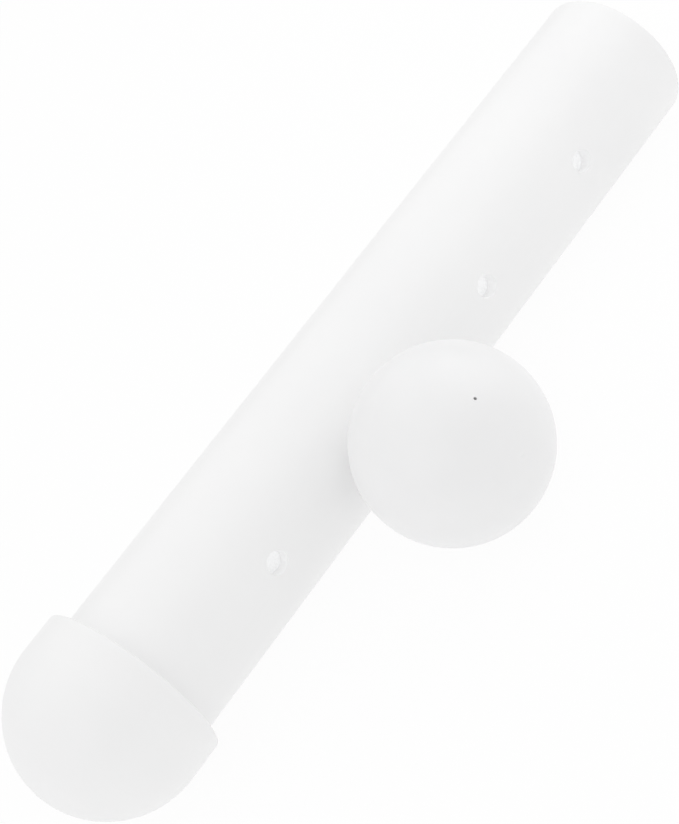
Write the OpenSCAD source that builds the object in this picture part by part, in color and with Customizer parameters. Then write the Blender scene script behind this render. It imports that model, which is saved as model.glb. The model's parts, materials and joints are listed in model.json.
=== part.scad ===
// Training bumper: a hard tube filled with float foam, with a domed nose cap, a flush
// tail plug, a row of scent ports down one side, and a ball that spins on a side axle.
// The tube lies along X with its nose at -X. The ball is on the -Y side. Z is up.
// Pieces are drawn round the centre of the nose dome and then placed as a whole.

/* [Tube] */
// Length from the tip of the nose to the tail face
overall_l = 304.8; // [252:0.2:380]
// Outer diameter of the tube
tube_d = 50.8; // [42:0.2:62]
// Wall of the tube
tube_wall = 4; // [3:0.1:4.8]
// Slope cut on the nose end of the tube
tube_ease = 0.3; // [0.1:0.1:0.8]
// Rounding of the tube's tail edge
tail_edge = 0.9; // [0.3:0.1:1.5]

/* [Nose cap] */
// Wall of the cap round the tube
cap_wall = 4.65; // [3:0.05:7]
// Length of the straight skirt behind the dome
skirt_l = 12; // [8:0.5:20]
// Depth of the tube's seat ahead of the dome's centre
seat_depth = 4; // [2:0.5:7]
// Wall of the dome at its tip
dome_wall = 6; // [5:0.5:8]
// Rounding of the skirt's rim
rim_edge = 0.8; // [0.3:0.1:1.5]
// Clearance between the socket of the cap and the tube
cap_fit = 0.1; // [0.05:0.01:0.2]
// Clearance round the foam pad in the dome
pad_fit = 0.3; // [0.2:0.1:0.6]

/* [Tail plug] */
// Length of the plug inside the tube
plug_l = 18; // [12:0.5:24]
// Wall of the hollow plug behind its seal
plug_wall = 4.5; // [4:0.5:7]
// Thickness of the end wall
end_wall = 5; // [4:0.5:9]
// Slope cut round the outer face of the plug
plug_ease = 0.4; // [0.2:0.1:0.8]
// Clearance between the plug and the bore of the tube
plug_fit = 0.08; // [0.05:0.01:0.2]
// Width of the notch for prying the plug out
notch_w = 6; // [4:0.5:9]
// Depth of the notch, along the tube and across it
notch_depth = 1.6; // [1:0.1:2.4]

/* [Line grommet] */
// Diameter of the hole for the throw line
line_d = 7; // [5:0.5:9]
// Slope cut round the mouth of the line hole
line_ease = 0.5; // [0.2:0.1:0.8]
// Wall of the grommet's sleeve
sleeve_wall = 1.5; // [1:0.1:2.5]
// Width of the grommet's flange past its sleeve
lip_w = 2.5; // [1.5:0.5:4]
// Thickness of the grommet's flange
grommet_t = 1.5; // [1:0.1:2.5]
// Clearance between the grommet's sleeve and the plug
grommet_fit = 0.05; // [0.02:0.01:0.1]

/* [Seal rings] */
// Thickness of a seal ring
seal_d = 2; // [1.6:0.1:2.4]
// Distance from the end of the tube or plug to the middle of its ring
seal_inset = 5; // [4:0.5:6]
// Clearance between a seal ring and the walls round it
seal_fit = 0.06; // [0.02:0.01:0.1]

/* [Scent ports] */
// Diameter of each port
port_d = 7; // [5:0.5:9]
// Slope cut round the mouth of each port
port_ease = 0.4; // [0.2:0.1:0.8]
// Distance from the dome's centre to the first port
row_first = 59.4; // [48:0.2:72]
// Distance from the last port to the tail face
row_last = 51.4; // [40:0.2:64]
// Turn of the row about the tube, up from the ball's axle
row_turn = 4; // [0:0.5:12]

/* [Float cores] */
// Clearance round each foam core
core_fit = 0.1; // [0.05:0.05:0.4]
// Half of the middle core's length
middle_half_l = 30; // [20:0.5:34]
// Gap between one core and the next
core_gap = 0.4; // [0.2:0.1:1]
// Clearance between the middle core and the axle
core_axle_fit = 0.3; // [0.2:0.1:0.6]

/* [Ball] */
// Diameter of the ball
ball_d = 58.8; // [48:0.2:72]
// Wall of each half of the ball
shell_wall = 3; // [2:0.5:5]
// Thickness of the boss that holds the hub
boss_l = 7; // [6:0.5:9]
// Thickness of the locating lip between the halves
lip_t = 1.5; // [1:0.1:2.5]
// Height of the locating lip
lip_l = 3; // [2:0.5:5]
// Diameter of the vent in the outer half
vent_d = 1; // [0.6:0.1:1.6]
// Tilt of the vent from the axle's line
vent_tilt = 40; // [10:1:80]
// Turn of the vent round the axle's line
vent_turn = 81; // [0:1:359]

/* [Axle and hub] */
// Distance from the first port to the ball's axle
axle_after_first = 51.2; // [42:0.2:56]
// Diameter of the axle
axle_d = 6.8; // [5:0.1:9]
// Clearance between the axle and the holes in the tube
axle_fit = 0.1; // [0.05:0.05:0.3]
// Running clearance between the axle and the hub
hub_fit = 0.05; // [0.02:0.01:0.1]
// Diameter of the hub
hub_d = 15; // [13:0.5:18]
// Length of the hub
hub_l = 36; // [28:0.5:42]
// Diameter of the hub's flange
flange_d = 24; // [20:0.5:26]
// Thickness of the hub's flange
flange_t = 2.5; // [1.5:0.5:4]
// Thickness of the retainer on the axle's inner end
retainer_t = 1.2; // [0.8:0.1:2]
// Diameter of the retainer
retainer_d = 13; // [11:0.5:15]
// Depth of the retainer's groove
retainer_groove = 0.7; // [0.4:0.1:1]
// Length of axle past the retainer
axle_tip = 2; // [1:0.5:3]
// End play of the ball
end_play = 0.2; // [0.1:0.05:0.5]

/* [Saddles, washer and nut] */
// Diameter of each saddle
saddle_d = 18; // [16:0.5:22]
// Thickness of a saddle at the crown of the tube
saddle_t = 0.9; // [0.6:0.1:2]
// Clearance between a saddle and the tube
saddle_fit = 0.05; // [0.02:0.01:0.1]
// Thickness of the thrust washer
washer_t = 0.9; // [0.5:0.1:2]
// Diameter of the thrust washer
washer_d = 16; // [12:0.5:20]
// Width of the cap nut across its flats
nut_flats = 13; // [11:0.5:16]
// Height of the cap nut's hexagon
nut_h = 4.5; // [3:0.5:7]
// Height of the dome on the cap nut
nut_dome = 4.5; // [3:0.5:5.5]
// Clearance between the axle and the cap nut
nut_fit = 0.02; // [0.01:0.01:0.05]

/* [Hidden] */
$fn = 96;
eps = 1;
plastic = [0.95, 0.95, 0.94];
foam = [0.86, 0.87, 0.88];
rubber = [0.80, 0.80, 0.81];

// Round sizes
tube_r = tube_d / 2;
bore_r = tube_r - tube_wall;
socket_r = tube_r + cap_fit;
cap_r = socket_r + cap_wall;
cavity_r = cap_r - dome_wall;
plug_r = bore_r - plug_fit;
core_r = bore_r - core_fit;
port_r = port_d / 2;
line_r = line_d / 2;
sleeve_r = line_r + sleeve_wall;
axle_r = axle_d / 2;
axle_hole_r = axle_r + axle_fit;
hub_bore_r = axle_r + hub_fit;
ball_r = ball_d / 2;
ball_in_r = ball_r - shell_wall;

// Places along the tube, from the dome's centre
tail_x = overall_l - cap_r;
tube_x0 = -seat_depth;
plug_x0 = tail_x - plug_l;
row_places = 4;
row_pitch = (tail_x - row_last - row_first) / (row_places - 1);
axle_x = row_first + axle_after_first;
port_x = [row_first, row_first + 2 * row_pitch, row_first + 3 * row_pitch];
core_ends = [tube_x0, axle_x - middle_half_l, axle_x + middle_half_l, plug_x0];
cap_seal_r = tube_r + seal_fit + seal_d / 2;
plug_seal_r = bore_r - seal_fit - seal_d / 2;
seal_half = seal_d / 2 + seal_fit;

// Places along the axle, from the tube's centre line
saddle_y = tube_r + saddle_t;
ball_gap = saddle_t + washer_t + end_play;
ball_y = tube_r + ball_gap + ball_r;
boss_z = boss_l - ball_r;
hub_z1 = hub_l - ball_r;
washer_z = hub_z1 + end_play / 2;
retainer_z = hub_z1 + washer_t + end_play;
axle_tip_y = ball_y + retainer_z + retainer_t + axle_tip;
nut_top = nut_h + nut_dome;
axle_in_nut = nut_h + nut_dome / 3;
lip_r = sqrt(ball_in_r * ball_in_r - lip_l * lip_l) - saddle_fit;
lip_root = 2 * lip_l;

// Shift that puts the middle of the object's base at the origin
y_low = -(ball_y + ball_r);
y_high = max(cap_r, saddle_y + nut_top);
base_r = max(cap_r, ball_r);
shift = [(cap_r - tail_x) / 2, -(y_low + y_high) / 2, base_r];

// Turns a flat profile about the tube: its x is the radius and its y is the place along X
module along_tube() {
    translate(shift) rotate([0, 90, 0]) rotate_extrude() children();
}

// Turns a profile about the ball's axle: its y runs outwards from the tube's centre line
module along_axle() {
    translate(shift + [axle_x, 0, 0]) rotate([90, 0, 0]) rotate_extrude() children();
}

// Puts a solid at the ball's centre with its Z along the axle, away from the tube
module at_ball() {
    translate(shift + [axle_x, -ball_y, 0]) rotate([90, 0, 0]) children();
}

// Puts a solid on the far side of the tube with its Z along the axle, away from the ball
module at_back() {
    translate(shift + [axle_x, 0, 0]) rotate([-90, 0, 0]) children();
}

// Flat band between two radii and two heights
module band(r0, r1, y0, y1) {
    translate([r0, y0]) square([r1 - r0, y1 - y0]);
}

// Half of a disc on the low side of a line
module low_disc(r, line) {
    intersection() {
        circle(r);
        band(0, r, -r, line);
    }
}

// Half of a disc on the high side of a line
module high_disc(r, line) {
    intersection() {
        circle(r);
        band(0, r, line, r);
    }
}

// Band from y0 to y1 whose outer corner at y1 is rounded
module soft_band(r, y0, y1, edge) {
    band(0, r, y0, y1 - edge);
    band(0, r - edge, y0, y1);
    translate([r - edge, y1 - edge]) circle(edge);
}

// Section of a seal ring
module seal_section(ring_r, place) {
    translate([ring_r, place]) circle(seal_d / 2);
}

// Cutter for a port through the near wall, with its mouth eased
module port_cut(place) {
    flare = port_r + port_ease + eps;
    translate(shift + [place, 0, 0]) rotate([90 - row_turn, 0, 0]) rotate_extrude() polygon([
        [0, 0],
        [port_r, 0],
        [port_r, tube_r - port_ease],
        [flare, tube_r + eps],
        [0, tube_r + eps]
    ]);
}

// Tube with a row of ports in its near wall and the axle's holes
module body_tube() {
    color(plastic) difference() {
        along_tube() difference() {
            union() {
                soft_band(tube_r, tube_x0 + tube_ease, tail_x, tail_edge);
                polygon([
                    [0, tube_x0],
                    [tube_r - tube_ease, tube_x0],
                    [tube_r, tube_x0 + tube_ease],
                    [0, tube_x0 + tube_ease]
                ]);
            }
            band(0, bore_r, tube_x0 - eps, tail_x + eps);
        }
        for (place = port_x) port_cut(place);
        translate(shift + [axle_x, 0, 0]) rotate([90, 0, 0])
            cylinder(r = axle_hole_r, h = tube_d + 2 * eps, center = true);
    }
}

// Domed cap with a socket for the tube, a groove for its seal and a cavity for the pad
module nose_cap() {
    seal_x = tube_x0 + seal_inset;
    color(plastic) along_tube() difference() {
        union() {
            low_disc(cap_r, 0);
            soft_band(cap_r, 0, skirt_l, rim_edge);
        }
        band(0, socket_r, tube_x0, skirt_l + eps);
        band(0, cap_seal_r + seal_half, seal_x - seal_half, seal_x + seal_half);
        low_disc(cavity_r, tube_x0 + eps);
    }
}

// Foam pad that fills the dome ahead of the tube
module nose_pad() {
    color(foam) along_tube() low_disc(cavity_r - pad_fit, tube_x0 - pad_fit);
}

// Seal ring between the cap and the tube
module nose_seal() {
    color(rubber) along_tube() seal_section(cap_seal_r, tube_x0 + seal_inset);
}

// Hollow plug in the tail of the tube, flush with its edge
module tail_plug() {
    seal_x = plug_x0 + seal_inset;
    color(plastic) difference() {
        along_tube() difference() {
            polygon([
                [0, plug_x0],
                [plug_r, plug_x0],
                [plug_r, tail_x - plug_ease],
                [plug_r - plug_ease, tail_x],
                [0, tail_x]
            ]);
            band(0, plug_r - plug_wall, plug_x0 - eps, tail_x - end_wall);
            band(0, sleeve_r + grommet_fit, plug_x0, tail_x + eps);
            band(plug_seal_r - seal_half, bore_r + eps, seal_x - seal_half, seal_x + seal_half);
        }
        translate(shift + [tail_x - notch_depth, -notch_w / 2, plug_r - notch_depth])
            cube([notch_depth + eps, notch_w, notch_depth + eps]);
    }
}

// Bush that lines the line hole, with its flange inside the plug
module line_grommet() {
    color(plastic) along_tube() polygon([
        [line_r, tail_x - end_wall - grommet_t],
        [sleeve_r + lip_w, tail_x - end_wall - grommet_t],
        [sleeve_r + lip_w, tail_x - end_wall],
        [sleeve_r, tail_x - end_wall],
        [sleeve_r, tail_x],
        [line_r + line_ease, tail_x],
        [line_r, tail_x - line_ease]
    ]);
}

// Seal ring between the plug and the bore of the tube
module tail_seal() {
    color(rubber) along_tube() seal_section(plug_seal_r, plug_x0 + seal_inset);
}

// Foam core number i, counted from the nose; the middle one is bored for the axle
module float_core(i) {
    color(foam) difference() {
        along_tube() band(0, core_r, core_ends[i - 1] + core_gap / 2, core_ends[i] - core_gap / 2);
        translate(shift + [axle_x, 0, 0]) rotate([90, 0, 0])
            cylinder(r = axle_r + core_axle_fit, h = tube_d, center = true);
    }
}

// Plain axle through the tube, grooved for its retainer
module axle() {
    groove_y = ball_y + retainer_z;
    color(plastic) along_axle() difference() {
        band(0, axle_r, -(saddle_y + axle_in_nut), axle_tip_y);
        band(axle_r - retainer_groove, axle_r + eps, groove_y, groove_y + retainer_t);
    }
}

// Disc with one face hollowed to the tube
module saddle() {
    difference() {
        cylinder(d = saddle_d, h = saddle_y);
        translate([0, 0, -eps]) cylinder(r = axle_hole_r, h = saddle_y + 2 * eps);
        rotate([0, 90, 0]) cylinder(r = tube_r + saddle_fit, h = 2 * saddle_d, center = true);
    }
}

// Saddle on the ball's side
module front_saddle() {
    color(plastic) translate(shift + [axle_x, 0, 0]) rotate([90, 0, 0]) saddle();
}

// Saddle on the far side
module rear_saddle() {
    color(plastic) at_back() saddle();
}

// Domed hexagon nut on the far side
module cap_nut() {
    corner_r = nut_flats / sqrt(3);
    dome_r = (nut_flats * nut_flats / 4 + nut_dome * nut_dome) / (2 * nut_dome);
    color(plastic) at_back() translate([0, 0, saddle_y]) difference() {
        union() {
            cylinder(r = corner_r, h = nut_h, $fn = 6);
            translate([0, 0, nut_h]) rotate_extrude()
                translate([0, nut_dome - dome_r]) high_disc(dome_r, dome_r - nut_dome);
        }
        translate([0, 0, -eps]) cylinder(r = axle_r + nut_fit, h = axle_in_nut + nut_fit + eps);
    }
}

// Washer that the hub runs against
module thrust_washer() {
    color(plastic) along_axle()
        band(axle_hole_r, washer_d / 2, saddle_y, saddle_y + washer_t);
}

// Washer between the hub and the retainer
module inner_washer() {
    color(plastic) at_ball() rotate_extrude()
        band(axle_hole_r, retainer_d / 2, washer_z, washer_z + washer_t);
}

// Flanged bush in the middle of the ball
module ball_hub() {
    color(plastic) at_ball() rotate_extrude() union() {
        band(hub_bore_r, hub_d / 2, -ball_r, hub_z1);
        band(hub_bore_r, flange_d / 2, boss_z, boss_z + flange_t);
    }
}

// Ring in the axle's groove that keeps the hub on
module ball_retainer() {
    color(plastic) at_ball() rotate_extrude()
        band(axle_r - retainer_groove, retainer_d / 2, retainer_z, retainer_z + retainer_t);
}

// Half of the ball next to the tube, with the hub's boss and a locating lip
module ball_shell_inner() {
    color(plastic) at_ball() rotate_extrude() difference() {
        union() {
            difference() {
                low_disc(ball_r, 0);
                intersection() {
                    circle(ball_in_r);
                    band(0, ball_in_r, boss_z, eps);
                }
            }
            band(lip_r - lip_t, lip_r, -lip_root, lip_l);
        }
        band(0, hub_d / 2 + saddle_fit, -ball_r - eps, boss_z + eps);
    }
}

// Outer half of the ball, with its vent
module ball_shell_outer() {
    color(plastic) at_ball() difference() {
        rotate_extrude() difference() {
            high_disc(ball_r, 0);
            circle(ball_in_r);
        }
        rotate([0, 0, vent_turn]) rotate([0, vent_tilt, 0])
            translate([0, 0, ball_in_r - eps]) cylinder(d = vent_d, h = shell_wall + 2 * eps);
    }
}

body_tube();
nose_cap();
nose_pad();
nose_seal();
tail_plug();
tail_seal();
line_grommet();
float_core(1);  // float_core_1
float_core(2);  // float_core_2
float_core(3);  // float_core_3
axle();
front_saddle();
rear_saddle();
cap_nut();
thrust_washer();
inner_washer();
ball_hub();
ball_retainer();
ball_shell_inner();
ball_shell_outer();
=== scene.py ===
import json
import math

import bpy
from mathutils import Matrix, Vector


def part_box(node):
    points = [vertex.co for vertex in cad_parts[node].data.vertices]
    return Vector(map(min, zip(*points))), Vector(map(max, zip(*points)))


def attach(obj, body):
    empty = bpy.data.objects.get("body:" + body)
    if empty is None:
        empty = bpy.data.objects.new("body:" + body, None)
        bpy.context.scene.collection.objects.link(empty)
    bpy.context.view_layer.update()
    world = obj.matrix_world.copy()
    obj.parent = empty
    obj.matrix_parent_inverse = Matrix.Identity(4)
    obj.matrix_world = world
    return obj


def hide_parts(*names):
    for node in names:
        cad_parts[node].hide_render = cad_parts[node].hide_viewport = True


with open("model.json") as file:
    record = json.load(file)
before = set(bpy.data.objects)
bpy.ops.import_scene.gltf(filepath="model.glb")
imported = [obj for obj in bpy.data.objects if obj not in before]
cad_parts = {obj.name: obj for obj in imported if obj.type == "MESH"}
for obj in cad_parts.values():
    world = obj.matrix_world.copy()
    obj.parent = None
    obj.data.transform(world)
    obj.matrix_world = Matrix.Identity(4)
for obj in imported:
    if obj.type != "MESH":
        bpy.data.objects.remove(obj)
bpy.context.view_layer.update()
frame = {"nodes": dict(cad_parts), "record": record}
print("stage: frame loaded, nodes", len(frame["nodes"]))

mm = 0.001
quarterTurn = math.radians(90)


# shader helpers

class Wire:
    # one output of a node; plain maths on it adds Math nodes

    def __init__(self, tree, socket):
        self.tree = tree
        self.socket = socket

    def maths(self, operation, *values):
        return self.tree.out("ShaderNodeMath", {"operation": operation}, dict(enumerate(values)))

    def __add__(self, other):
        return self.maths("ADD", self, other)

    def __sub__(self, other):
        return self.maths("SUBTRACT", self, other)

    def __rsub__(self, other):
        return self.maths("SUBTRACT", other, self)

    def __mul__(self, other):
        return self.maths("MULTIPLY", self, other)

    def __abs__(self):
        return self.maths("ABSOLUTE", self)

    __radd__ = __add__
    __rmul__ = __mul__


class Tree:
    # the nodes of one material or world; out() adds a node and gives one of its outputs

    def __init__(self, owner):
        owner.use_nodes = True
        self.owner = owner
        self.nodes = owner.node_tree.nodes
        self.links = owner.node_tree.links
        self.nodes.clear()

    def add(self, kind, settings, inputs):
        node = self.nodes.new(kind)
        for key, value in settings.items():
            setattr(node, key, value)
        for key, value in inputs.items():
            if isinstance(value, Wire):
                self.links.new(value.socket, node.inputs[key])
            else:
                node.inputs[key].default_value = value
        return node

    def out(self, kind, settings, inputs, name=0):
        return Wire(self, self.add(kind, settings, inputs).outputs[name])

    def spot(self, centre=(0, 0, 0), stretch=(1, 1, 1)):
        # object coordinates in metres from centre, each divided by its stretch
        coords = self.out("ShaderNodeTexCoord", {}, {}, "Object")
        moved = self.out("ShaderNodeVectorMath", {"operation": "SUBTRACT"}, {0: coords, 1: centre})
        return self.out("ShaderNodeVectorMath", {"operation": "DIVIDE"}, {0: moved, 1: stretch})

    def noise(self, point, width, detail=2.0):
        # width is how wide one blotch is
        return self.out("ShaderNodeTexNoise", {}, {"Vector": point, "Scale": 1 / width, "Detail": detail})

    def cells(self, point, width, feature="F1"):
        settings = {"feature": feature}
        inputs = {"Vector": point, "Scale": 1 / width}
        return self.out("ShaderNodeTexVoronoi", settings, inputs, "Distance")

    def ease(self, value, start, end):
        # 0 at start, 1 at end, smooth between; start may be the larger one
        settings = {"interpolation_type": "SMOOTHSTEP"}
        inputs = {"Value": value, "From Min": start, "From Max": end}
        return self.out("ShaderNodeMapRange", settings, inputs)

    def reach(self, point, target):
        return self.out("ShaderNodeVectorMath", {"operation": "DISTANCE"}, {0: point, 1: target}, "Value")

    def axis(self, point, name):
        return self.out("ShaderNodeSeparateXYZ", {}, {"Vector": point}, name)

    def blend(self, amount, first, second):
        inputs = {0: amount, 6: (*first, 1), 7: (*second, 1)}
        return self.out("ShaderNodeMix", {"data_type": "RGBA"}, inputs, 2)

    def coat(self, colour, roughness, height, fixed):
        # height is in millimetres
        normal = self.out("ShaderNodeBump", {}, {"Strength": 1.0, "Distance": mm, "Height": height})
        inputs = {"Base Color": colour, "Roughness": roughness, "Normal": normal, **fixed}
        shader = self.out("ShaderNodeBsdfPrincipled", {}, inputs)
        self.add("ShaderNodeOutputMaterial", {}, {"Surface": shader})
        return self.owner


# where things are, all from the frame

capLow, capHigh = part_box("nose_cap")
plugLow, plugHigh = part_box("tail_plug")
grommetLow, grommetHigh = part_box("line_grommet")
tubeLow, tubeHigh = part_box("body_tube")
ballLow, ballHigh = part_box("ball_shell_outer")
lineY = (capLow.y + capHigh.y) / 2        # the tube's centre line
lineZ = (capLow.z + capHigh.z) / 2
capRadius = (capHigh.z - capLow.z) / 2
tubeRadius = (tubeHigh.z - tubeLow.z) / 2
ballRadius = (ballHigh.z - ballLow.z) / 2
ballCentre = Vector(((ballLow.x + ballHigh.x) / 2, ballHigh.y, (ballLow.z + ballHigh.z) / 2))
noseTip = Vector((capLow.x, lineY, lineZ))
tailCentre = Vector((plugHigh.x, lineY, lineZ))


# white moulded plastics

plastic = {
    "light": (0.962, 0.962, 0.962),
    "shade": (0.912, 0.912, 0.916),
    "tone": 0.22,              # how far the plain skin is from light to shade
    "drift": 70 * mm,          # width of the slow change in tone
    "driftShare": 0.9,
    "mottle": 9 * mm,
    "mottleShare": 0.35,
    "gloss": 0.335,            # roughness where the skin is clean
    "mottleGloss": 0.10,
    "handFrom": (0.31, 0.17, 0.05),
    "handWidth": 34 * mm,      # patches that hands have rubbed
    "handEdge": (0.42, 0.66),
    "handled": 0.12,           # roughness added in them
    "scuffs": 0.5,             # how strong the scuffs are, which lie in those patches too
    "scuffEdge": (0.56, 0.76),
    "scuffTone": 0.3,
    "scuffGloss": 0.18,
    "scuffDepth": 0.003,       # depths and heights are in millimetres
    "waves": 0.012,            # height of the slow waves
    "waveFrom": (0.07, 0.4, 0.2),
    "waveWidth": 26 * mm,
    "peel": 0.0016,            # height of the fine orange peel
    "peelWidth": 1.1 * mm,
    "ior": 1.5,
}


def plasticSkin(tree, look, along):
    # tone, roughness and height shared by the plastics; along is the direction of wear
    point = tree.spot()
    drift = tree.noise(point, look["drift"])
    mottle = tree.noise(point, look["mottle"], 4.0)
    hands = tree.noise(tree.spot(look["handFrom"]), look["handWidth"], 3.0)
    hands = tree.ease(hands, *look["handEdge"])
    streak = tree.noise(tree.spot(stretch=along), 1.0, 3.0)
    scuff = tree.ease(streak, *look["scuffEdge"]) * hands * look["scuffs"]
    tone = look["tone"] + (drift - 0.5) * look["driftShare"] + (mottle - 0.5) * look["mottleShare"]
    tone = tone + scuff * look["scuffTone"]
    roughness = look["gloss"] + (mottle - 0.5) * look["mottleGloss"] + hands * look["handled"]
    roughness = roughness + scuff * look["scuffGloss"]
    waves = tree.noise(tree.spot(look["waveFrom"]), look["waveWidth"], 1.0)
    peel = tree.noise(point, look["peelWidth"], 2.0)
    height = waves * look["waves"] + peel * look["peel"] - scuff * look["scuffDepth"]
    return point, tone, roughness, height


tubeLook = {
    **plastic,
    "grain": (46 * mm, 0.5 * mm, 0.5 * mm),       # length and width of a scuff
    "drawn": 0.0022,                              # height of the fine lines along the tube
    "drawnSize": (260 * mm, 1.3 * mm, 1.3 * mm),
    "drawnGloss": 0.05,
    "skin": 0.7 * mm,          # depth under the outer skin from which the wall has a painted glow
    # strength of the painted glow in the wall
    "glow": 0.046,
    "clear": 2 * mm,           # the glow fades out over this length ahead of the plug
    "pinTurns": (30, 150, 270),
    "pinReach": 14 * mm,       # from the plug's centre to each ejector mark
    "pinRadius": 2.6 * mm,
    "pinLine": 0.22 * mm,
    "pinDepth": 0.035,
    "faceEdge": (0.6 * mm, 0.1 * mm),             # the flat tail starts this far ahead of its end
    "faceGloss": 0.06,
    "rubWidth": 4 * mm,        # where the line rubs round its hole
    "rubTone": 0.3,
    "rubGloss": 0.1,
}


def paintedWallGlow(tree, point, look):
    # painted glow: the wall under the skin, as in the holes, shines by itself, standing in for light
    # through the thin white wall, but not at the plug
    alongGone = (1e9, 1, 1)    # takes X away, so that only the distance from the centre line is left
    depth = tubeRadius - tree.reach(tree.spot(stretch=alongGone), (0, lineY, lineZ))
    inside = tree.ease(depth, look["skin"] / 4, look["skin"])
    return inside * tree.ease(tree.axis(point, "X"), plugLow.x, plugLow.x - look["clear"])


def tubeFinish():
    look = tubeLook
    tree = Tree(bpy.data.materials.new("tubePlastic"))
    point, tone, roughness, height = plasticSkin(tree, look, look["grain"])
    drawn = tree.noise(tree.spot(stretch=look["drawnSize"]), 1.0, 3.0)
    height = height + drawn * look["drawn"]
    roughness = roughness + (drawn - 0.5) * look["drawnGloss"]
    flat = tree.ease(tailCentre.x - tree.axis(point, "X"), *look["faceEdge"])
    pinRing = 0
    for turn in look["pinTurns"]:
        angle = math.radians(turn)
        pin = tailCentre + Vector((0, math.cos(angle), math.sin(angle))) * look["pinReach"]
        pinRing = pinRing + tree.ease(abs(tree.reach(point, pin) - look["pinRadius"]), look["pinLine"], 0.0)
    seat = tree.reach(point, tailCentre) - (grommetHigh.z - grommetLow.z) / 2
    rubbed = tree.ease(seat, look["rubWidth"], 0.0) * flat
    height = height - flat * pinRing * look["pinDepth"]
    roughness = roughness + flat * look["faceGloss"] + rubbed * look["rubGloss"]
    colour = tree.blend(tone + rubbed * look["rubTone"], look["light"], look["shade"])
    # painted glow of the hole walls, given as emission
    glow = tree.blend(paintedWallGlow(tree, point, look), (0, 0, 0), (1, 1, 1))
    fixed = {"IOR": look["ior"], "Emission Color": glow, "Emission Strength": look["glow"]}
    return tree.coat(colour, roughness, height, fixed)


capLook = {
    **plastic,
    "gloss": 0.36,
    "scuffs": 0.7,
    "grain": (4 * mm, 0.6 * mm, 30 * mm),
    "gate": (1.9 * mm, 1.3 * mm),                 # moulding gate at the tip, outer and inner edge
    "gateDepth": 0.08,
    "gateTone": 0.2,
    "ringRadius": 2.6 * mm,
    "ringLine": 0.3 * mm,
    "ringDepth": 0.02,
    "worn": (30 * mm, 6 * mm),                    # the tip takes the knocks
    "wornTone": 0.10,
    "wornGloss": 0.07,
    "rim": 1.0 * mm,
    "rimTone": 0.12,
}


def capFinish():
    look = capLook
    tree = Tree(bpy.data.materials.new("capPlastic"))
    point, tone, roughness, height = plasticSkin(tree, look, look["grain"])
    tip = tree.reach(point, noseTip)
    gate = tree.ease(tip, *look["gate"])
    gateRing = tree.ease(abs(tip - look["ringRadius"]), look["ringLine"], 0.0)
    worn = tree.ease(tip, *look["worn"])
    height = height - gate * look["gateDepth"] - gateRing * look["ringDepth"]
    rim = tree.ease(abs(tree.axis(point, "X") - capHigh.x), look["rim"], 0.0)
    tone = tone + worn * look["wornTone"] + rim * look["rimTone"] + gate * look["gateTone"]
    colour = tree.blend(tone, look["light"], look["shade"])
    return tree.coat(colour, roughness + worn * look["wornGloss"], height, {"IOR": look["ior"]})


ballLook = {
    **plastic,
    "light": (0.93, 0.93, 0.932),
    "shade": (0.862, 0.862, 0.868),
    "gloss": 0.325,
    "grain": (0.8 * mm, 9 * mm, 0.8 * mm),
    "seam": 0.16 * mm,         # weld between the halves
    "seamDepth": 0.02,
    "seamTone": 0.10,
    "flash": (0.9 * mm, 0.2 * mm),
    "flashHeight": 0.004,
    "flashGloss": 0.05,
}


def ballFinish():
    look = ballLook
    tree = Tree(bpy.data.materials.new("ballPlastic"))
    point, tone, roughness, height = plasticSkin(tree, look, look["grain"])
    join = abs(tree.axis(point, "Y") - ballCentre.y)
    seam = tree.ease(join, look["seam"], 0.0)
    flash = tree.ease(join, *look["flash"])
    height = height - seam * look["seamDepth"] + flash * look["flashHeight"]
    colour = tree.blend(tone + seam * look["seamTone"], look["light"], look["shade"])
    return tree.coat(colour, roughness + flash * look["flashGloss"], height, {"IOR": look["ior"]})


nylonLook = {
    "light": (0.90, 0.90, 0.89),
    "shade": (0.80, 0.80, 0.79),
    "cloud": 6 * mm,
    "cloudTone": 0.7,
    "cloudGloss": 0.14,
    "cloudHeight": 0.01,
    "grain": 0.35 * mm,
    "grainTone": 0.3,
    "grainGloss": 0.1,
    "grainHeight": 0.006,
    "gloss": 0.40,
    "ior": 1.53,
}


def nylonFinish():
    look = nylonLook
    tree = Tree(bpy.data.materials.new("fittingNylon"))
    point = tree.spot()
    cloud = tree.noise(point, look["cloud"], 3.0)
    grain = tree.noise(point, look["grain"], 3.0)
    tone = cloud * look["cloudTone"] + (grain - 0.5) * look["grainTone"]
    colour = tree.blend(tone, look["light"], look["shade"])
    roughness = look["gloss"] + (cloud - 0.5) * look["cloudGloss"] + (grain - 0.5) * look["grainGloss"]
    height = grain * look["grainHeight"] + cloud * look["cloudHeight"]
    return tree.coat(colour, roughness, height, {"IOR": look["ior"]})


foamLook = {
    "skin": (0.94, 0.945, 0.95),
    "pore": (0.85, 0.855, 0.86),
    "cell": 0.9 * mm,
    "cellTone": 0.15,
    "poreEdge": (0.10, 0.34),
    "poreTone": 0.42,
    "poreDepth": 0.06,
    "lump": 5 * mm,
    "lumpTone": 0.5,
    "lumpGloss": 0.2,
    "lumpHeight": 0.16,
    "gloss": 0.78,
    "glow": 0.19,              # painted glow: the foam shines by itself, standing in for light through the thin white walls
    "ior": 1.4,
}


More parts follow.
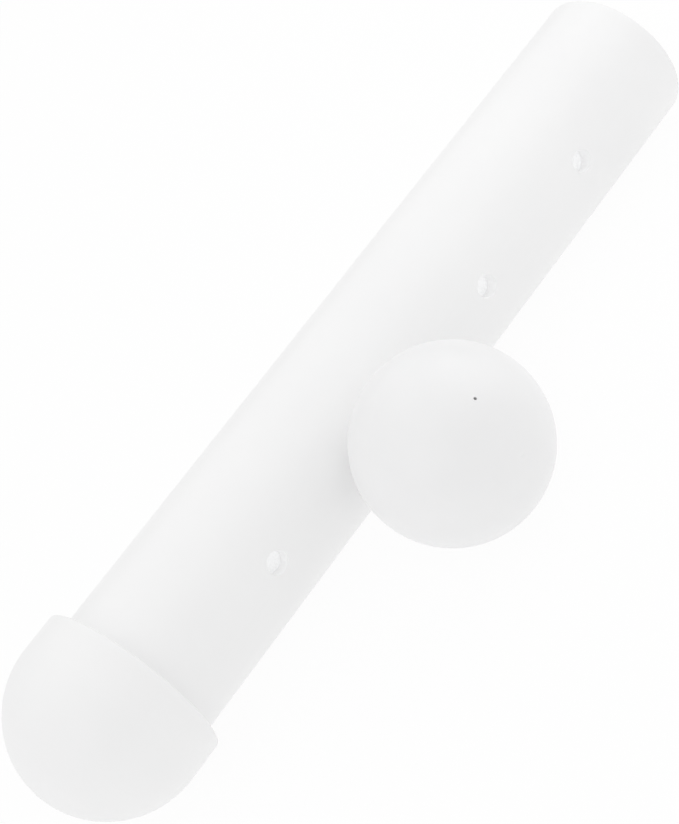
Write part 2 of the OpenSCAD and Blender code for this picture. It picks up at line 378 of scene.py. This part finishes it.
def foamFinish():
    look = foamLook
    tree = Tree(bpy.data.materials.new("closedCellFoam"))
    point = tree.spot()
    cell = tree.cells(point, look["cell"])
    wall = tree.cells(point, look["cell"], "DISTANCE_TO_EDGE")
    lump = tree.noise(point, look["lump"], 4.0)
    pore = tree.ease(wall, *look["poreEdge"])
    tone = pore * look["poreTone"] + (lump - 0.5) * look["lumpTone"] + cell * look["cellTone"]
    colour = tree.blend(tone, look["skin"], look["pore"])
    roughness = look["gloss"] + (lump - 0.5) * look["lumpGloss"]
    height = lump * look["lumpHeight"] - pore * look["poreDepth"]
    # painted glow of the foam, given as emission
    fixed = {"IOR": look["ior"], "Emission Color": (1, 1, 1, 1), "Emission Strength": look["glow"]}
    return tree.coat(colour, roughness, height, fixed)


rubberLook = {
    "light": (0.74, 0.75, 0.76),
    "shade": (0.62, 0.63, 0.64),
    "cloud": 3 * mm,
    "cloudGloss": 0.1,
    "cloudHeight": 0.01,
    "grease": 11 * mm,
    "greaseEdge": (0.45, 0.6),
    "greaseTone": 0.1,
    "greaseGloss": 0.2,
    "gloss": 0.52,
    "ior": 1.41,
}


def rubberFinish():
    look = rubberLook
    tree = Tree(bpy.data.materials.new("sealRubber"))
    point = tree.spot()
    cloud = tree.noise(point, look["cloud"], 3.0)
    grease = tree.ease(tree.noise(point, look["grease"]), *look["greaseEdge"])
    colour = tree.blend(cloud + grease * look["greaseTone"], look["light"], look["shade"])
    roughness = look["gloss"] - grease * look["greaseGloss"] + (cloud - 0.5) * look["cloudGloss"]
    return tree.coat(colour, roughness, cloud * look["cloudHeight"], {"IOR": look["ior"]})


finishes = {
    "tube_plastic": tubeFinish(),
    "cap_plastic": capFinish(),
    "ball_plastic": ballFinish(),
    "fitting_plastic": nylonFinish(),
    "foam": foamFinish(),
    "seal_rubber": rubberFinish(),
}
for part in frame["record"]["subparts"]:
    node = frame["nodes"][part["node"]]
    for place in node.material_slots:
        place.material = finishes[part["material_slot"]]
print("stage: finishes made", len(finishes))


# helpers for modelling by hand

def startClean():
    if bpy.context.mode != "OBJECT":
        bpy.ops.object.mode_set(mode="OBJECT")
    bpy.ops.object.select_all(action="DESELECT")


def setPlace():
    # moves a fresh piece's place and turn into its mesh
    bpy.ops.object.transform_apply(location=True, rotation=True, scale=True)
    return bpy.context.object


def makeActive(piece):
    startClean()
    piece.select_set(True)
    bpy.context.view_layer.objects.active = piece


def combine(piece, other, operation):
    # joins, cuts or keeps what both share, and the other one is used up
    makeActive(piece)
    step = piece.modifiers.new("step", "BOOLEAN")
    step.operation = operation
    step.object = other
    bpy.ops.object.modifier_apply(modifier="step")
    bpy.data.objects.remove(other)


def pickFaces(piece, wanted):
    # leaves edit mode in face select with just the wanted faces picked
    bpy.ops.object.mode_set(mode="EDIT")
    bpy.ops.mesh.select_mode(type="FACE")
    bpy.ops.mesh.select_all(action="DESELECT")
    bpy.ops.object.mode_set(mode="OBJECT")
    for face in piece.data.polygons:
        face.select = wanted(face)
    bpy.ops.object.mode_set(mode="EDIT")


def wear(piece, name, body, node, slot):
    # names a finished piece, gives it its finish and hangs it on its body
    makeActive(piece)
    setPlace()
    piece.name = name
    piece.data.name = name
    piece.data.materials.clear()
    piece.data.materials.append(finishes[slot])
    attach(piece, body)
    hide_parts(node)
    return piece


# foam in the dome

padLook = {
    "segments": 96,
    "rings": 48,
    "edge": 1.4 * mm,          # rounding of the edge round the flat face
    "edgeSteps": 4,
    "dish": 0.5 * mm,
    "steps": (0.2, 0.35, 0.5),                    # shares of the dish that each inset takes
    "stepWidth": 0.6,
    "smooth": math.radians(40),
}


def foamPad():
    low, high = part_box("nose_pad")
    depth = high.x - low.x
    rimRadius = (high.z - low.z) / 2
    radius = (rimRadius ** 2 + depth ** 2) / (2 * depth)
    startClean()
    bpy.ops.mesh.primitive_uv_sphere_add(
        segments=padLook["segments"], ring_count=padLook["rings"],
        radius=radius, location=(low.x + radius, lineY, lineZ), rotation=(0, quarterTurn, 0))
    pad = setPlace()
    bpy.ops.object.mode_set(mode="EDIT")
    bpy.ops.mesh.select_all(action="SELECT")
    bpy.ops.mesh.bisect(
        plane_co=(high.x, lineY, lineZ), plane_no=(1, 0, 0), use_fill=True, clear_outer=True)
    pickFaces(pad, lambda face: face.normal.x > 0.99 and face.center.x > high.x - 0.1 * mm)
    bpy.ops.mesh.bevel(offset=padLook["edge"], segments=padLook["edgeSteps"], affect="EDGES")
    pickFaces(pad, lambda face: face.normal.x > 0.999 and len(face.vertices) > 8)
    for share in padLook["steps"]:
        bpy.ops.mesh.inset(thickness=radius * share * padLook["stepWidth"])
        bpy.ops.transform.translate(value=(-padLook["dish"] * share, 0, 0))
    bpy.ops.object.mode_set(mode="OBJECT")
    bpy.ops.object.shade_smooth_by_angle(angle=padLook["smooth"])
    return wear(pad, "foamPad", "nose", "nose_pad", "foam")


# foam cores in the tube

coreLook = {"merge": 0.001 * mm, "voxel": 0.9 * mm, "relax": 0.5, "turns": 6, "numbers": (1, 2, 3)}


def foamCore(number):
    # the core's own solid, remeshed and relaxed so that its edges go soft
    node = f"float_core_{number}"
    core = bpy.data.objects.new(node, frame["nodes"][node].data.copy())
    bpy.context.scene.collection.objects.link(core)
    makeActive(core)
    bpy.ops.object.mode_set(mode="EDIT")
    bpy.ops.mesh.select_all(action="SELECT")
    bpy.ops.mesh.remove_doubles(threshold=coreLook["merge"])
    bpy.ops.object.mode_set(mode="OBJECT")
    grid = core.modifiers.new("grid", "REMESH")
    grid.mode = "VOXEL"
    grid.voxel_size = coreLook["voxel"]
    bpy.ops.object.modifier_apply(modifier="grid")
    relax = core.modifiers.new("relax", "SMOOTH")
    relax.factor = coreLook["relax"]
    relax.iterations = coreLook["turns"]
    bpy.ops.object.modifier_apply(modifier="relax")
    bpy.ops.object.shade_smooth()
    return wear(core, f"foamCore{number}", "bumper", node, "foam")


foamPad()
for number in coreLook["numbers"]:
    foamCore(number)
print("stage: foam made")


# cap nut on the far side

nutLook = {
    "hexShare": 0.5,           # how much of the height is hexagon, the rest is dome
    "corners": 6,
    "sides": 96,               # of what is turned round
    "domeRings": 48,
    "domeSegments": 64,
    "chamfer": 0.9 * mm,
    "chamferSteps": 2,
    "soft": 0.25 * mm,
    "softSteps": 3,
    "softFrom": math.radians(25),
    "smooth": math.radians(35),
    "overlap": 0.3 * mm,       # how far the dome goes into the hexagon
    "boreFit": 0.02 * mm,
    "drillStart": 1 * mm,      # how far outside the nut the drill starts
}


def nutRod(radius, start, end, sides, spin=0):
    # a rod on the axle's line, from start to end along Y; spin turns it about that line
    low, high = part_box("cap_nut")
    middle = ((low.x + high.x) / 2, (start + end) / 2, (low.z + high.z) / 2)
    startClean()
    bpy.ops.mesh.primitive_cylinder_add(
        vertices=sides, radius=radius, depth=end - start, location=middle,
        rotation=(quarterTurn, spin, 0))
    return setPlace()


def nutDome(flat, start, end):
    low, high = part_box("cap_nut")
    middleX = (low.x + high.x) / 2
    middleZ = (low.z + high.z) / 2
    rise = end - start
    radius = (flat ** 2 + rise ** 2) / (2 * rise)
    startClean()
    bpy.ops.mesh.primitive_uv_sphere_add(
        segments=nutLook["domeSegments"], ring_count=nutLook["domeRings"], radius=radius,
        location=(middleX, end - radius, middleZ), rotation=(quarterTurn, 0, 0))
    dome = setPlace()
    bpy.ops.object.mode_set(mode="EDIT")
    bpy.ops.mesh.select_all(action="SELECT")
    bpy.ops.mesh.bisect(
        plane_co=(middleX, start - nutLook["overlap"], middleZ), plane_no=(0, -1, 0),
        use_fill=True, clear_outer=True)
    bpy.ops.object.mode_set(mode="OBJECT")
    return dome


def capNut():
    low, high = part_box("cap_nut")
    axleLow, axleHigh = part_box("axle")
    corner = (high.x - low.x) / 2
    flat = (high.z - low.z) / 2
    hexTop = low.y + (high.y - low.y) * nutLook["hexShare"]
    nut = nutRod(corner, low.y, hexTop, nutLook["corners"], quarterTurn)     # corners at plus and minus X
    barrel = nutRod(corner, low.y, hexTop, nutLook["sides"])
    pickFaces(barrel, lambda face: abs(face.normal.y) > 0.99)
    bpy.ops.mesh.bevel(offset=nutLook["chamfer"], segments=nutLook["chamferSteps"], affect="EDGES")
    combine(nut, barrel, "INTERSECT")             # takes the sharp corners off both ends
    combine(nut, nutDome(flat, hexTop, high.y), "UNION")
    boreRadius = (axleHigh.z - axleLow.z) / 2 + nutLook["boreFit"]
    boreEnd = axleHigh.y + nutLook["boreFit"]
    drill = nutRod(boreRadius, low.y - nutLook["drillStart"], boreEnd, nutLook["sides"])
    combine(nut, drill, "DIFFERENCE")             # blind bore for the axle's end
    soft = nut.modifiers.new("soft", "BEVEL")
    soft.width = nutLook["soft"]
    soft.segments = nutLook["softSteps"]
    soft.limit_method = "ANGLE"
    soft.angle_limit = nutLook["softFrom"]
    bpy.ops.object.modifier_apply(modifier="soft")
    bpy.ops.object.shade_smooth_by_angle(angle=nutLook["smooth"])
    return wear(nut, "capNut", "bumper", "cap_nut", "fitting_plastic")


capNut()
print("stage: cap nut made")


# floor under the three places that the bumper rests on

def restingPlane():
    # z = a x + b y + c, touching the cap's rim, the ball and the tail's edge from below
    supports = [
        (capHigh.x, lineY, lineZ, capRadius),
        (ballCentre.x, ballCentre.y, ballCentre.z, ballRadius),
        (plugHigh.x, lineY, lineZ, tubeRadius),
    ]
    rows = Matrix([(x, y, 1) for x, y, z, radius in supports])
    return rows.inverted() @ Vector([z - radius for x, y, z, radius in supports])


stageLook = {
    "floor": 8.0,
    "paper": (0.94, 0.94, 0.94),
    "grain": 3 * mm,
    "grainHeight": 0.05,
    "grainBump": 0.1,
    "glow": 0.56,              # share of even white light in the paper
    "lift": 0.37,              # more of it where the paper is seen or mirrored
}


def paperFinish():
    # pale paper lit from behind: seen or mirrored it is lifted to white, and it keeps a soft shadow
    tree = Tree(bpy.data.materials.new("paper"))
    look = stageLook
    grain = tree.noise(tree.spot(), look["grain"], 3.0) * look["grainHeight"]
    relief = {"Strength": look["grainBump"], "Distance": mm, "Height": grain}
    bump = tree.out("ShaderNodeBump", {}, relief)
    matt = tree.out("ShaderNodeBsdfDiffuse", {}, {"Color": (*look["paper"], 1), "Normal": bump})
    glow = tree.out("ShaderNodeEmission", {}, {"Color": (1, 1, 1, 1), "Strength": 1.0})
    path = tree.add("ShaderNodeLightPath", {}, {})
    seen = Wire(tree, path.outputs["Is Camera Ray"]) + Wire(tree, path.outputs["Is Glossy Ray"])
    seen = seen + Wire(tree, path.outputs["Is Transmission Ray"])
    amount = seen * look["lift"] + look["glow"]
    shown = tree.out("ShaderNodeMixShader", {}, {0: amount, 1: matt, 2: glow})
    tree.add("ShaderNodeOutputMaterial", {}, {"Surface": shown})
    return tree.owner


def layFloor():
    slopeX, slopeY, rise = restingPlane()
    tilt = Vector((0, 0, 1)).rotation_difference(Vector((-slopeX, -slopeY, 1)))
    startClean()
    bpy.ops.mesh.primitive_plane_add(size=stageLook["floor"], location=(0, 0, rise))
    floor = bpy.context.object
    floor.rotation_euler = tilt.to_euler()
    floor.name = "paperFloor"
    floor.data.materials.append(paperFinish())
    print("stage: floor slopes", round(slopeX, 5), round(slopeY, 5), "rise", round(rise / mm, 2), "mm")


layFloor()


# light: a white room, paler above, ahead and behind, with four soft boxes and a narrow strip in front

lights = {
    "room": 0.647,
    "lean": (-0.122, 0.062, 0.204),       # how much brighter the room is along X, Y and Z
    "shown": 1.0,                         # the camera sees plain white
    "boxes": [
        {"name": "tailBox", "heading": 77, "height": 28, "far": 0.8, "size": (0.8, 0.8), "power": 1.378},
        {"name": "aheadBox", "heading": -60, "height": 32, "far": 1.5, "size": (1.0, 1.0), "power": 1.32},
        {"name": "topBox", "heading": 0, "height": 85, "far": 1.5, "size": (2.0, 2.0), "power": 1.856},
        {"name": "softBox", "heading": 131, "height": 43, "far": 0.95, "size": (0.9, 0.85), "power": 0.48},
        {"name": "strip", "heading": 31, "height": 15, "far": 1.3, "size": (0.12, 0.6), "power": 0.20},
    ],
}


def setWorld():
    tree = Tree(bpy.data.worlds.new("whiteRoom"))
    bpy.context.scene.world = tree.owner
    ray = tree.out("ShaderNodeTexCoord", {}, {}, "Generated")
    sides = {0: ray, 1: lights["lean"]}
    lean = tree.out("ShaderNodeVectorMath", {"operation": "DOT_PRODUCT"}, sides, "Value")
    seen = tree.out("ShaderNodeLightPath", {}, {}, "Is Camera Ray")
    strength = tree.out("ShaderNodeMix", {}, {0: seen, 2: lean + lights["room"], 3: lights["shown"]})
    sky = tree.out("ShaderNodeBackground", {}, {"Color": (1, 1, 1, 1), "Strength": strength})
    tree.add("ShaderNodeOutputWorld", {}, {"Surface": sky})


def hangBox(box):
    # heading turns from -Y towards +X
    heading = math.radians(box["heading"])
    height = math.radians(box["height"])
    target = Vector((0, lineY, lineZ))
    away = Vector((math.sin(heading), -math.cos(heading), 0)) * math.cos(height)
    away = away + Vector((0, 0, math.sin(height)))
    data = bpy.data.lights.new(box["name"], "AREA")
    data.shape = "RECTANGLE"
    data.size = box["size"][0]
    data.size_y = box["size"][1]
    data.energy = box["power"]
    lamp = bpy.data.objects.new(box["name"], data)
    lamp.location = target + away * box["far"]
    lamp.rotation_euler = away.to_track_quat("Z", "Y").to_euler()
    bpy.context.scene.collection.objects.link(lamp)


setWorld()
for box in lights["boxes"]:
    hangBox(box)
print("stage: lights hung", len(lights["boxes"]))


# camera: looks down at the ball's side from ahead of the nose, rolled so that the nose is low

cameraLook = {
    "place": (-0.2123, -0.4446, 0.3246),
    "heading": 23.60,          # degrees from +Y towards +X
    "down": 29.82,
    "roll": -40.16,
    "lens": 84.58,
    "film": 36.0,
    "near": 0.01,
}


def setCamera():
    data = bpy.data.cameras.new("camera")
    data.lens = cameraLook["lens"]
    data.sensor_width = cameraLook["film"]
    data.clip_start = cameraLook["near"]
    camera = bpy.data.objects.new("camera", data)
    turn = Matrix.Rotation(math.radians(-cameraLook["heading"]), 4, "Z")
    pitch = Matrix.Rotation(math.radians(90 - cameraLook["down"]), 4, "X")
    roll = Matrix.Rotation(math.radians(cameraLook["roll"]), 4, "Z")
    camera.matrix_world = Matrix.Translation(cameraLook["place"]) @ turn @ pitch @ roll
    bpy.context.scene.collection.objects.link(camera)
    bpy.context.scene.camera = camera


setCamera()
bpy.context.scene.view_settings.view_transform = "Standard"

print("stage: all made")
